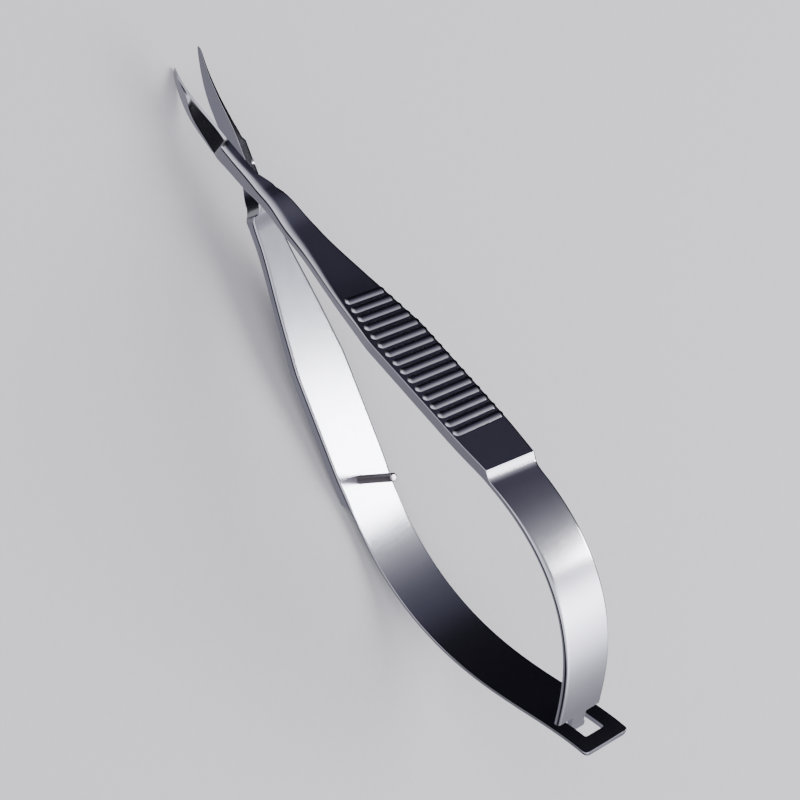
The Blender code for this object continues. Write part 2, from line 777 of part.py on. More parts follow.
def seat_on_floor(base, parts):
    """Moves the base so that the box round all parts stands centred on the origin."""
    bpy.context.view_layer.update()
    graph = bpy.context.evaluated_depsgraph_get()
    corners = []
    for part in parts.objects:
        shown = part.evaluated_get(graph)
        corners += [shown.matrix_world @ vertex.co for vertex in shown.to_mesh().vertices]
        shown.to_mesh_clear()
    lows = [min(corner[axis] for corner in corners) for axis in range(3)]
    highs = [max(corner[axis] for corner in corners) for axis in range(3)]
    base.location = (-(lows[0] + highs[0]) / 2, -(lows[1] + highs[1]) / 2, -lows[2])
    bpy.context.view_layer.update()


def empty(name, collection, parent=None):
    """An empty that carries parts."""
    carrier = bpy.data.objects.new(name, None)
    carrier.empty_display_size = SHANK_WIDTH
    collection.objects.link(carrier)
    carrier.parent = parent
    return carrier


def main():
    clear_scene()
    parts = new_collection("nail_scissors")
    cutters = new_collection("cutters")
    carriers = new_collection("carriers")
    base = empty("pivot", carriers)
    lower = empty("lower_arm_axis", carriers, base)
    upper = empty("upper_arm_axis", carriers, base)
    crossing, open_angle = hooked_leaves()
    tilt = resting_tilt(open_angle)
    lower.rotation_euler = (0.0, tilt, 0.0)
    upper.rotation_euler = (0.0, tilt - open_angle, 0.0)
    slotted_arm(parts, cutters, lower)
    slotted_leaf(parts, cutters, lower, crossing)
    stop_pin(parts, lower)
    tongue_arm(parts, cutters, upper)
    tongue_leaf(parts, cutters, upper)
    pivot_screw(parts, cutters, upper)
    seat_on_floor(base, parts)
    pivot = base.location
    print("pivot at", [round(value, 6) for value in pivot])
    print("tilt", round(math.degrees(tilt), 3), "open", round(math.degrees(open_angle), 3))
    for arm, carrier in ((TONGUE_SIDE, upper), (SLOTTED_SIDE, lower)):
        hinge = carrier.matrix_world @ hinge_point(arm)
        print("leaf hinge at", [round(value, 6) for value in hinge])


main()
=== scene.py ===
"""Spring-handled nail scissors: two satin steel arms cross at a screw and run out into leaf springs."""
import math

import bmesh
import bpy
from mathutils import Matrix, Vector


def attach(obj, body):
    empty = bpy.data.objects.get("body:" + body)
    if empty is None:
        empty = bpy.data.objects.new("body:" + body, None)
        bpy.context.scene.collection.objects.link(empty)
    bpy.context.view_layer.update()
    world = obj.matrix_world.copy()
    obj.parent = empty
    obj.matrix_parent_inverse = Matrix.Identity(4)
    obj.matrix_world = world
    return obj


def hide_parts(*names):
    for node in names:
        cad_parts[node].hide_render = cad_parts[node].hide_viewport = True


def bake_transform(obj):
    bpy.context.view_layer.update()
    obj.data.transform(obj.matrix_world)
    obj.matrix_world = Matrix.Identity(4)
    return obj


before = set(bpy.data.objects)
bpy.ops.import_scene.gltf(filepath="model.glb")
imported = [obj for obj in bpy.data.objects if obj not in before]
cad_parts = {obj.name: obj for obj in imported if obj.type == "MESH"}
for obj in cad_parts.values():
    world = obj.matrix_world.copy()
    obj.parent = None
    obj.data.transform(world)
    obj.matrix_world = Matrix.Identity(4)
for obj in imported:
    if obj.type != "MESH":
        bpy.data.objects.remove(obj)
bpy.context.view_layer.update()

# CAMERA
# A long lens from above and in front, as the photograph was taken, with the tips at the top left
# and the tail at the bottom right.
camera_spot = (-0.0576, -0.3805, 0.6028)
camera_right = Vector((0.4200, 0.7406, 0.5246))
camera_up = Vector((-0.9037, 0.3944, 0.1668))
camera_back = Vector((-0.0835, -0.5440, 0.8350))
camera_data = bpy.data.cameras.new("photo_camera")
camera_data.sensor_width = 36.0
camera_data.lens = 226.9
camera_data.clip_start = 0.05
camera_data.clip_end = 20.0
camera = bpy.data.objects.new("photo_camera", camera_data)
camera_turn = Matrix((camera_right, camera_up, camera_back)).transposed().to_4x4()
camera.matrix_world = Matrix.Translation(camera_spot) @ camera_turn
bpy.context.collection.objects.link(camera)
bpy.context.scene.camera = camera

# FLOOR
# A sheet of matt photo paper, pale grey, with the faint mottling of its fibres, about 1 mm each. The
# steel doesn't mirror it, so that the tent alone lights the scissors.
PAPER_DARK = "CDCCCE"
PAPER_LIGHT = "D3D2D4"
FIBRES_PER_METRE = 900.0
FLOOR_HALF = 4


def from_hex(text):
    """A screen colour such as C4C4CE as linear values."""
    channels = [int(text[start:start + 2], 16) / 255 for start in (0, 2, 4)]
    return tuple(c / 12.92 if c <= 0.04045 else ((c + 0.055) / 1.055) ** 2.4 for c in channels) + (1.0,)


def add_node(tree, kind, values=None, **settings):
    """A node with its settings, and values for its inputs by name or number."""
    node = tree.nodes.new(kind)
    for setting, value in settings.items():
        setattr(node, setting, value)
    for key, value in (values or {}).items():
        if isinstance(value, bpy.types.NodeSocket):
            tree.links.new(value, node.inputs[key])
        else:
            node.inputs[key].default_value = value
    return node


def new_material(name):
    """A material, its node tree and its surface shader."""
    material = bpy.data.materials.new(name)
    material.use_nodes = True
    return material, material.node_tree, material.node_tree.nodes["Principled BSDF"]


paper, tree, shader = new_material("matt_photo_paper")
place = add_node(tree, "ShaderNodeTexCoord")
fibres = add_node(tree, "ShaderNodeTexNoise", {
    "Vector": place.outputs["Object"], "Scale": FIBRES_PER_METRE, "Detail": 4.0})
tone = add_node(tree, "ShaderNodeMix", {
    "Factor": fibres.outputs["Fac"], "A": from_hex(PAPER_DARK), "B": from_hex(PAPER_LIGHT)},
    data_type="RGBA")
tree.links.new(tone.outputs["Result"], shader.inputs["Base Color"])
shader.inputs["Roughness"].default_value = 0.9
shader.inputs["Specular IOR Level"].default_value = 0.2
floor_mesh = bpy.data.meshes.new("floor")
floor_mesh.from_pydata([(x * FLOOR_HALF, y * FLOOR_HALF, 0) for x, y in ((-1, -1), (1, -1), (1, 1), (-1, 1))],
                       [], [(0, 1, 2, 3)])
floor_mesh.materials.append(paper)
floor = bpy.data.objects.new("floor", floor_mesh)
bpy.context.collection.objects.link(floor)
floor.visible_glossy = False

# STUDIO LIGHT
# A tent lights the steel. Behind the scissors it grows from black on the left to a white softbox on
# the right, and in front it leaves a dark gap between the table and the white sheet above it.
world = bpy.data.worlds.new("light_tent")
bpy.context.scene.world = world
world.use_nodes = True
tree = world.node_tree
place = add_node(tree, "ShaderNodeTexCoord")
axes = add_node(tree, "ShaderNodeSeparateXYZ", {0: place.outputs["Generated"]})
TENT_STRENGTH = 9.0
# Light of the sheet behind, by the angle in degrees round Y, from straight up towards the tail.
BEHIND = ((-180, 0.45), (-128, 0.03), (-100, 0.005), (-62, 0.007), (-56, 0.03), (-50, 0.06), (-42, 0.09),
          (-30, 0.13), (-20, 0.24), (-10, 0.42), (0, 0.60), (12, 0.55), (21, 0.60), (30, 2.6), (42, 7.0),
          (52, 7.5), (66, 4.8), (80, 2.6), (91, 1.1), (101, 0.62), (112, 0.36), (128, 0.22), (180, 0.45))
# Light of the sheet in front, by height from straight down to straight up.
BEFORE = ((-1.0, 0.45), (-0.86, 0.36), (-0.75, 0.26), (-0.60, 0.04), (-0.52, 0.007), (0.05, 0.007),
          (0.16, 0.02), (0.28, 0.5), (0.38, 1.3), (0.60, 1.5), (0.80, 1.4), (1.0, 1.3))
# How far along Y the two sheets blend into each other.
SHEET_SEAM = 0.3
# A weak sheet at the far left of the front, from where it begins to where it is full.
LEFT_SHEET = (-0.42, -0.66)
LEFT_LIGHT = 0.05
# The sheet behind darkens where it faces the back of the room.
DARK_END = (0.66, 0.80)
DARK_LIGHT = 0.003
# Faint light is bluish, and grows neutral above this brightness.
COLD_BELOW = 0.1
COLD_GREEN = 0.08
COLD_BLUE = 0.55
BLUE_CAST = 1.07
# What the camera sees past the floor's edge.
BACKDROP = (0.09, 0.09, 0.094, 1.0)


def tent_sheet(value, low, high, stops):
    """The brightness of a sheet of the tent along one direction of it."""
    along = add_node(tree, "ShaderNodeMapRange", {"Value": value, "From Min": low, "From Max": high})
    sheet = add_node(tree, "ShaderNodeValToRGB", {"Fac": along.outputs["Result"]})
    ramp = sheet.color_ramp
    ramp.interpolation = "LINEAR"
    for index, (place_on_it, light) in enumerate(stops):
        spot = (place_on_it - low) / (high - low)
        element = ramp.elements[index] if index < 2 else ramp.elements.new(spot)
        element.position = spot
        shade = light / TENT_STRENGTH
        cold = 1 / (1 + (light / COLD_BELOW) ** 2)
        element.color = (shade, shade * (1 - COLD_GREEN * cold), shade * (BLUE_CAST + COLD_BLUE * cold), 1.0)
    return sheet.outputs["Color"]


around = add_node(tree, "ShaderNodeMath", {0: axes.outputs["X"], 1: axes.outputs["Z"]}, operation="ARCTAN2")
around_degrees = add_node(tree, "ShaderNodeMath", {0: around.outputs[0]}, operation="DEGREES")
behind = tent_sheet(around_degrees.outputs[0], -180, 180, BEHIND)
before = tent_sheet(axes.outputs["Z"], -1, 1, BEFORE)
left_light = add_node(tree, "ShaderNodeMapRange", {
    "Value": axes.outputs["X"], "From Min": LEFT_SHEET[0], "From Max": LEFT_SHEET[1], "To Min": 0.0,
    "To Max": LEFT_LIGHT}, interpolation_type="SMOOTHSTEP")
before = add_node(tree, "ShaderNodeMix", {"Factor": 1.0, "A": before, "B": left_light.outputs["Result"]},
                  data_type="RGBA", blend_type="LIGHTEN").outputs["Result"]
dark_end = add_node(tree, "ShaderNodeMapRange", {
    "Value": axes.outputs["Y"], "From Min": DARK_END[0], "From Max": DARK_END[1], "To Min": 1.0,
    "To Max": DARK_LIGHT}, interpolation_type="SMOOTHSTEP")
behind = add_node(tree, "ShaderNodeVectorMath", {0: behind, "Scale": dark_end.outputs["Result"]},
                  operation="SCALE").outputs["Vector"]
share_behind = add_node(tree, "ShaderNodeMapRange", {
    "Value": axes.outputs["Y"], "From Min": -SHEET_SEAM, "From Max": SHEET_SEAM},
    interpolation_type="SMOOTHSTEP")
tent = add_node(tree, "ShaderNodeMix", {"Factor": share_behind.outputs["Result"], "A": before, "B": behind},
                data_type="RGBA")
seen = add_node(tree, "ShaderNodeLightPath")
backdrop = add_node(tree, "ShaderNodeMix", {
    "Factor": seen.outputs["Is Camera Ray"], "A": tent.outputs["Result"], "B": BACKDROP}, data_type="RGBA")
background = tree.nodes["Background"]
tree.links.new(backdrop.outputs["Result"], background.inputs["Color"])
background.inputs["Strength"].default_value = TENT_STRENGTH


def lamp(name, size, energy, location, target):
    """A square softbox that looks at a target."""
    lamp_data = bpy.data.lights.new(name, "AREA")
    lamp_data.size = size
    lamp_data.energy = energy
    placed = bpy.data.objects.new(name, lamp_data)
    placed.location = location
    placed.rotation_euler = (Vector(target) - placed.location).to_track_quat("-Z", "Y").to_euler()
    bpy.context.collection.objects.link(placed)
    return placed


# The softbox lights the floor alone, and the small lamp shows in the steel alone.
key = lamp("overhead_softbox", size=0.30, energy=2.0, location=(0.24, 0.30, 0.42), target=(0.0, 0.0, 0.0))
key.visible_glossy = False
glow = lamp("small_close_lamp", size=0.030, energy=0.065, location=(0.045, 0.067, 0.102),
            target=(0.0087, 0.0, 0.002))
glow.visible_diffuse = False

# FAR ARM
# One forging of stainless steel: a pointed blade, a lap at the screw, a ribbed grip, and a thin
# leaf spring whose end has a window for the other arm's tongue. It is ground, bent and satin finished.
CLEARANCE = 0.0003
SCREW_AXIS = (-0.037625, 0.0, 0.007321)
# The bar of the grip, from the waist behind the lap to the step where the leaf begins.
INNER_FACE = 0.00075
WAIST_THICKNESS = 0.0014
GRIP_THICKNESS = 0.0020
SHANK_WIDTH = 0.0042
GRIP_WIDTH = 0.0090
FLARE_LENGTH = 0.0220
STEP_RUN = 0.0022
# Share of the step's run, and how much of its height has gone by then.
STEP_FALL = ((0.0, 0.5, 0.75, 1.0), (0.0, 0.88, 0.985, 1.0))
# Share of the flare's length, then of its widening and of its thickening.
FLARE_ROWS = ((0.00, 0.02, 0.55), (0.14, 0.09, 0.42), (0.28, 0.23, 0.34), (0.46, 0.46, 0.30),
              (0.64, 0.67, 0.42), (0.82, 0.85, 0.65), (1.00, 1.00, 0.85))
# The lap, and the hollow shoulder that ends it and lets the other arm swing.
LAP_INNER = 0.0012
LAP_OUTER = 0.0019
LAP_HEIGHT = 0.0017
LAP_REACH = 0.0056
SHOULDER_RUN = 0.0017
SHOULDER_DEPTH = 0.00145
SHOULDER_STEPS = 6
# From this share of the lap's reach the outer edge slopes down into the shoulder.
RAMP_ROW = 0.45
# Share of the lap's reach, then of its inner and its outer half width. The blade's facet ends first.
FACET_END_ROW = (-0.56, 1.02, 1.09)
LAP_ROWS = ((-0.28, 1.00, 1.05), (0.00, 0.98, 1.00), (0.45, 0.96, 0.98), (0.80, 0.62, 0.93),
            (1.00, 0.44, 0.89))
# The cut on the outer corner starts to change this share of the lap's reach before the screw.
GROUND_FROM = 0.2
# The blade, which bends to the hidden side towards its tip.
BLADE_LENGTH = 0.0176
BLADE_HALF_WIDTH = 0.0019
BLADE_SWEEP = 0.0014
SWEEP_START = 0.0090
LAND_LEAN = 0.45
BACK_LEAN = 0.20
BACK_LEAN_LIMIT = 0.4
# The leaf spring, whose edges are ground off more and more along its first 12 mm, on its outer face
# and on its side wall.
LEAF_THICKNESS = 0.0008
LEAF_WIDTH = 0.0083
LEAF_ROUND = 0.00008
LEAF_GRIND = (0.00032, 0.00026)
LEAF_UNDERCUT = 0.00042
GRIND_RUN = 0.0120
# How far the edges are rounded, how small a chamfer stays on the thin blade, and how much of a cut
# its rounding takes.
EDGE_ROUND = 0.0002
SHARP_ROUND = 0.00025
SHARP_CUT = 0.00004
GRIP_EDGE = 0.00005
CHAMFERS_IN_HEIGHT = 4
CHAMFERS_IN_WIDTH = 5
SOFT_SHARE = 0.7
FULL_SHARE = 0.95
# Its outer face looks down. Its stations run from the screw, its tilt is in degrees, and its leaf's
# heading follows the bow's three numbers to the whole turn.
FAR_ARM = {
    "side": -1.0,
    "tilt": 6.992,
    "flare_start": 0.0088,
    "taper_start": 0.0450,
    "root": 0.04995,
    "root_width": 0.0086,
    "bow_length": 0.0542,
    "leaf_end": 0.054197,
    "end_corner": 0.0006,
    "ramp": 0.8,
    "skew": 0.0,
    "face_cut": (0.0005, 0.0005),
    "wall_cut": (0.0005, 0.0005),
    "turn": math.radians(49.217),
    "bow": (1.534, 2.133, -2.667),
    # Share of the blade's length, its back, its edge, its height, its ridge and its land.
    "blade_rows": (
        (1.000, 0.93, 1.02, 0.10, 0.70, 0.08), (0.966, 0.64, 1.05, 0.15, 0.80, 0.10),
        (0.875, 0.40, 1.08, 0.20, 0.90, 0.13), (0.761, 0.12, 1.12, 0.25, 0.93, 0.14),
        (0.700, -0.02, 1.16, 0.28, 0.80, 0.15), (0.642, -0.14, 1.18, 0.31, 0.52, 0.15),
        (0.511, -0.36, 1.21, 0.37, 0.34, 0.16), (0.375, -0.56, 1.21, 0.47, 0.28, 0.18),
        (0.256, -0.66, 1.14, 0.65, 0.24, 0.22), (0.215, -0.66, 1.12, 0.72, 0.22, 0.26),
    ),
}


def ramp_dip(station):
    """How far the outer edge of the lap and the shoulder has sloped down at a station."""
    start = RAMP_ROW * LAP_REACH
    share = (station - start) / (LAP_REACH + SHOULDER_RUN - start)
    return max(0.0, share) * (SHOULDER_DEPTH + CLEARANCE / 2)


def half_row(station, spine, edge, height, ridge, land, lean, facet_cut, ridge_cut, ramp):
    """A control row of a half that slides on the other: its station, eight corners and their cuts."""
    low = CLEARANCE / 2
    dip = ramp_dip(station) * ramp
    chamfer = min(EDGE_ROUND, height / CHAMFERS_IN_HEIGHT, (edge - spine) / CHAMFERS_IN_WIDTH)
    # The back leans over the whole blade, and stands straight again at nine tenths of the lap.
    back = min(BACK_LEAN * height, (edge - spine) * BACK_LEAN_LIMIT)
    back *= min(1.0, max(0.0, 1.8 - 2 * station / LAP_REACH))
    sharp = min(GRIP_EDGE, chamfer)
    corners = (
        (spine + sharp, low), (edge - SHARP_CUT, low - dip), (edge, low + SHARP_CUT - dip),
        (edge - lean, low + land), (max(ridge, spine + back + 2 * chamfer), low + height),
        (spine + back + chamfer, low + height), (spine + back, low + height - chamfer), (spine, low + sharp),
    )
    soft = chamfer * SOFT_SHARE
    return station, corners, (sharp, SHARP_CUT, SHARP_CUT, facet_cut, ridge_cut, soft, soft, sharp)


def bar_row(station, inner, outer, low_inner, low_outer, high, edge, face_cut, wall_cut, under=EDGE_ROUND):
    """A control row of the full bar: a rounded box, with its outer corner on the arm's side ground off."""
    corners = (
        (inner + edge, low_inner), (outer - under, low_outer), (outer, low_outer + under),
        (outer, high - face_cut), (outer - wall_cut, high), (inner + edge, high), (inner, high - edge),
        (inner, low_inner + edge),
    )
    soft = edge * SOFT_SHARE
    wall_round = min(wall_cut * SOFT_SHARE, SHARP_ROUND)
    return station, corners, (soft, soft, soft, face_cut * FULL_SHARE, wall_round, soft, soft, soft)


def control_rows(arm):
    """The arm's sections from the tip to the leaf's root."""
    rows = []
    for share, spine, edge, height, ridge, land in arm["blade_rows"]:
        spine *= BLADE_HALF_WIDTH
        edge *= BLADE_HALF_WIDTH
        height *= LAP_HEIGHT
        ridge = spine + ridge * (edge - spine)
        rows.append(half_row(-share * BLADE_LENGTH, spine, edge, height, ridge, land * LAP_HEIGHT,
                             LAND_LEAN * land * LAP_HEIGHT, EDGE_ROUND * 0.5, SHARP_CUT, arm["ramp"]))
    for share, inner, outer in (FACET_END_ROW,) + LAP_ROWS:
        outer *= LAP_OUTER
        grown = max(0.0, share + GROUND_FROM) / (1 + GROUND_FROM)
        face_cut = arm["face_cut"][0] + (arm["face_cut"][1] - arm["face_cut"][0]) * grown
        wall_cut = arm["wall_cut"][0] + (arm["wall_cut"][1] - arm["wall_cut"][0]) * grown
        rows.append(half_row(share * LAP_REACH, -inner * LAP_INNER, outer, LAP_HEIGHT, outer - wall_cut,
                             LAP_HEIGHT - face_cut, 0.0, face_cut * FULL_SHARE,
                             min(wall_cut * SOFT_SHARE, SHARP_ROUND), arm["ramp"]))
    inner = -LAP_ROWS[-1][1] * LAP_INNER
    outer = LAP_ROWS[-1][2] * LAP_OUTER
    for step in range(1, SHOULDER_STEPS + 1):
        turn = math.radians(90) * step / SHOULDER_STEPS
        station = LAP_REACH + SHOULDER_RUN * math.sin(turn)
        low_inner = CLEARANCE / 2 - (SHOULDER_DEPTH + CLEARANCE / 2) * (1 - math.cos(turn))
        low_outer = low_inner + arm["ramp"] * (CLEARANCE / 2 - ramp_dip(station) - low_inner)
        rows.append(bar_row(station, inner, outer, low_inner, low_outer,
                            CLEARANCE / 2 + LAP_HEIGHT, EDGE_ROUND, arm["face_cut"][1], arm["wall_cut"][1]))
    for share, width, thickness in FLARE_ROWS:
        half_width = (SHANK_WIDTH + width * (GRIP_WIDTH - SHANK_WIDTH)) / 2
        outer = WAIST_THICKNESS + thickness * (GRIP_THICKNESS - WAIST_THICKNESS) - INNER_FACE
        rows.append(bar_row(arm["flare_start"] + share * FLARE_LENGTH, -INNER_FACE, outer, -half_width,
                            -half_width, half_width, EDGE_ROUND,
                            arm["face_cut"][1] + share * (GRIP_EDGE - arm["face_cut"][1]),
                            arm["wall_cut"][1] + share * (GRIP_EDGE - arm["wall_cut"][1])))
    for station, width in ((arm["taper_start"], GRIP_WIDTH), (arm["root"], arm["root_width"])):
        rows.append(bar_row(station, -INNER_FACE, GRIP_THICKNESS - INNER_FACE, -width / 2, -width / 2,
                            width / 2, EDGE_ROUND, GRIP_EDGE, GRIP_EDGE))
    return rows


def flow(places, values, at):
    """A smooth curve through values at places that never swings past them."""
    gaps = [b - a for a, b in zip(places, places[1:])]
    slopes = [(b - a) / gap for a, b, gap in zip(values, values[1:], gaps)]
    leans = [slopes[0]]
    for before_slope, after_slope, gap, next_gap in zip(slopes, slopes[1:], gaps, gaps[1:]):
        if before_slope * after_slope <= 0:
            leans.append(0.0)
        else:
            first = 2 * next_gap + gap
            second = next_gap + 2 * gap
            leans.append((first + second) / (first / before_slope + second / after_slope))
    leans.append(slopes[-1])
    index = min(sum(place <= at for place in places[1:-1]), len(gaps) - 1)
    t = (at - places[index]) / gaps[index]
    hermite = (2 * t ** 3 - 3 * t * t + 1, t ** 3 - 2 * t * t + t, 3 * t * t - 2 * t ** 3, t ** 3 - t * t)
    return (hermite[0] * values[index] + hermite[1] * gaps[index] * leans[index]
            + hermite[2] * values[index + 1] + hermite[3] * gaps[index] * leans[index + 1])


def leaf_path(arm, distance):
    """The leaf's inner face at a distance from its root: station, outward and heading."""
    first, second, third = arm["bow"]
    station = arm["root"]
    outward = -INNER_FACE
    steps = 160
    for step in range(steps):
        share = (step + 0.5) / steps * distance / arm["bow_length"]
        heading = -arm["turn"] * share * (first + share * (second + share * third))
        station += math.cos(heading) * distance / steps
        outward += math.sin(heading) * distance / steps
    share = distance / arm["bow_length"]
    return station, outward, -arm["turn"] * share * (first + share * (second + share * third))


# The two corners of the ground edge share it unevenly, so that the one by the outer face is rounder.
WALL_CORNER = 4
WALL_SHARE = 0.26
REACH_LIMIT = 0.9
# A flat rest beside each rounding keeps its shade off the flat faces.
REST_LENGTH = 0.00018
LEAST_REST = 0.0000005


def rounded_ring(corners, cuts):
    """A section with its corners rounded, and how much each point belongs to a rounded edge."""
    ring = []
    count = len(corners)
    for index in range(count):
        corner = Vector(corners[index])
        back = Vector(corners[index - 1]) - corner
        ahead = Vector(corners[(index + 1) % count]) - corner
        half_back = back.length * (WALL_SHARE if index == WALL_CORNER else 0.5)
        half_ahead = ahead.length * (1 - WALL_SHARE if index == WALL_CORNER - 1 else 0.5)
        reach_back = min(cuts[index], half_back * REACH_LIMIT)
        reach_ahead = min(cuts[index], half_ahead * REACH_LIMIT)
        start = corner + back.normalized() * reach_back
        end = corner + ahead.normalized() * reach_ahead
        rest_back = min(REST_LENGTH, (half_back - reach_back) * 0.5)
        rest_ahead = min(REST_LENGTH, (half_ahead - reach_ahead) * 0.5)
        ring.append((start + back.normalized() * max(rest_back, LEAST_REST), 0.0))
        for t in (0.0, 1 / 3, 2 / 3, 1.0):
            ring.append((start * (1 - t) ** 2 + corner * 2 * t * (1 - t) + end * t * t, 1.0))
        ring.append((end + ahead.normalized() * max(rest_ahead, LEAST_REST), 0.0))
    return ring


FINE_STEP = 0.0007
FINE_END = 0.035
COARSE_COUNT = 4


def arm_stations(arm):
    """Where the arm gets a section: close together as far as the flare, and few on the plain grip."""
    marks = [row[0] for row in control_rows(arm)]
    spots = []
    for start, end in zip(marks, marks[1:]):
        count = max(2, math.ceil((end - start) / FINE_STEP)) if start < FINE_END else COARSE_COUNT
        spots += [start + (end - start) * step / count for step in range(count)]
    return spots + [marks[-1]]


LEAF_STEP = 0.0006
FALL_STEPS = 16
CORNER_STEPS = 6
# The near grip's sections run slightly askew, from the waist to the step, as its step does.
SKEW_SPOTS = (-0.0200, 0.0130, 0.0270, 0.0625, 0.0720, 0.1100)
SKEW_SHARES = (0.0, 0.0, 1.0, 1.0, 0.0, 0.0)


def arm_mesh(arm, name):
    """The whole arm as one skin, with its place along, across and outward kept on every point."""
    rows = control_rows(arm)
    places = [row[0] for row in rows]
    rings = []
    for station in arm_stations(arm):
        corners = [tuple(flow(places, [row[1][corner][axis] for row in rows], station) for axis in (0, 1))
                   for corner in range(8)]
        cuts = [flow(places, [row[2][corner] for row in rows], station) for corner in range(8)]
        rings.append((station, station, 0.0, 0.0, corners, cuts))
    spots = [STEP_RUN * step / FALL_STEPS for step in range(1, FALL_STEPS + 1)]
    corner_start = arm["leaf_end"] - arm["end_corner"]
    count = math.ceil((corner_start - STEP_RUN) / LEAF_STEP)
    spots += [STEP_RUN + (corner_start - STEP_RUN) * step / count for step in range(1, count + 1)]
    spots += [corner_start + arm["end_corner"] * math.sin(math.radians(90) * step / CORNER_STEPS)
              for step in range(1, CORNER_STEPS + 1)]
    for distance in spots:
        share = min(1.0, distance / STEP_RUN)
        fall = flow(*STEP_FALL, share)
        thickness = GRIP_THICKNESS - (GRIP_THICKNESS - LEAF_THICKNESS) * fall
        late = max(0.0, distance - corner_start) / arm["end_corner"]
        half_width = (arm["root_width"] + (LEAF_WIDTH - arm["root_width"]) * share) / 2
        half_width -= arm["end_corner"] * (1 - math.sqrt(max(0.0, 1 - late * late)))
        edge = EDGE_ROUND + (LEAF_ROUND - EDGE_ROUND) * share
        under = EDGE_ROUND + (LEAF_UNDERCUT - EDGE_ROUND) * share
        ground = min(1.0, max(0.0, distance - STEP_RUN) / GRIND_RUN)
        face_cut = GRIP_EDGE + (LEAF_GRIND[0] - GRIP_EDGE) * ground
        wall_cut = GRIP_EDGE + (LEAF_GRIND[1] - GRIP_EDGE) * ground
        station, outward, heading = leaf_path(arm, distance)
        row = bar_row(0.0, 0.0, thickness, -half_width, -half_width, half_width, edge, face_cut,
                      wall_cut, under)
        rings.append((arm["root"] + distance, station, outward, heading, row[1], row[2]))
    form = bmesh.new()
    arm_place = form.verts.layers.float_vector.new("arm_place")
    edge_polish = form.verts.layers.float.new("edge_polish")
    loops = []
    for distance, station, outward, heading, corners, cuts in rings:
        loop = []
        for (rise, across), edge in rounded_ring(corners, cuts):
            sweep = 0.0
            if station < 0:
                reach = max(0.0, math.hypot(station, rise) - SWEEP_START) / (BLADE_LENGTH - SWEEP_START)
                sweep = -BLADE_SWEEP * reach * reach
            skewed = flow(SKEW_SPOTS, SKEW_SHARES, distance) * arm["skew"] * across
            vertex = form.verts.new((station - math.sin(heading) * rise + math.cos(heading) * skewed,
                                     -(sweep + arm["side"] * across),
                                     arm["side"] * (outward + math.cos(heading) * rise
                                                    + math.sin(heading) * skewed)))
            vertex[arm_place] = (distance, across, rise)
            vertex[edge_polish] = edge
            loop.append(vertex)
        loops.append(loop)
    for loop, following in zip(loops, loops[1:]):
        for index in range(len(loop)):
            other = (index + 1) % len(loop)
            form.faces.new((loop[index], loop[other], following[other], following[index]))
    form.faces.new(loops[0])
    form.faces.new(reversed(loops[-1]))
    bmesh.ops.recalc_face_normals(form, faces=form.faces)
    mesh = bpy.data.meshes.new(name)
    form.to_mesh(mesh)
    form.free()
    return mesh


def arm_frame(arm):
    """Where an arm stands: its X runs from the screw to the tail."""
    turn = Matrix.Rotation(math.radians(arm["tilt"]), 4, "Y")
    return Matrix.Translation(SCREW_AXIS) @ turn


def leaf_frame(arm, distance):
    """A frame on the middle of the leaf's thickness, X along it and Y across it."""
    station, outward, heading = leaf_path(arm, distance)
    station -= math.sin(heading) * LEAF_THICKNESS / 2
    outward += math.cos(heading) * LEAF_THICKNESS / 2
    along = Vector((math.cos(heading), 0.0, arm["side"] * math.sin(heading)))
    across = Vector((0.0, 1.0, 0.0))
    turned = Matrix((along, across, along.cross(across))).transposed().to_4x4()
    turned.translation = (station, 0.0, arm["side"] * outward)
    return turned


def prism(outline, depth, place):
    """A cutter from an outline, standing through the face that it is placed on."""
    form = bmesh.new()
    base = form.faces.new([form.verts.new((x, y, -depth)) for x, y in outline])
    raised = bmesh.ops.extrude_face_region(form, geom=[base])
    top = [item for item in raised["geom"] if isinstance(item, bmesh.types.BMVert)]
    bmesh.ops.translate(form, verts=top, vec=(0.0, 0.0, 2 * depth))
    bmesh.ops.transform(form, matrix=place, verts=form.verts)
    bmesh.ops.recalc_face_normals(form, faces=form.faces)
    mesh = bpy.data.meshes.new("cutter")
    form.to_mesh(mesh)
    form.free()
    return mesh


def circle(radius, count):
    """The corners of a round outline."""
    return [(radius * math.cos(math.tau * step / count), radius * math.sin(math.tau * step / count))
            for step in range(count)]


ARC_STEPS = 5


def rounded_oblong(start, end, half_width, radius):
    """A rectangle with rounded corners."""
    outline = []
    for x, y, first in ((end - radius, half_width - radius, 0), (start + radius, half_width - radius, 90),
                        (start + radius, radius - half_width, 180), (end - radius, radius - half_width, 270)):
        for step in range(ARC_STEPS + 1):
            turn = math.radians(first + 90 * step / ARC_STEPS)
            outline.append((x + radius * math.cos(turn), y + radius * math.sin(turn)))
    return outline


# Edges that turn more than this stay sharp in the shading.
SHARP_ANGLE = math.radians(38)


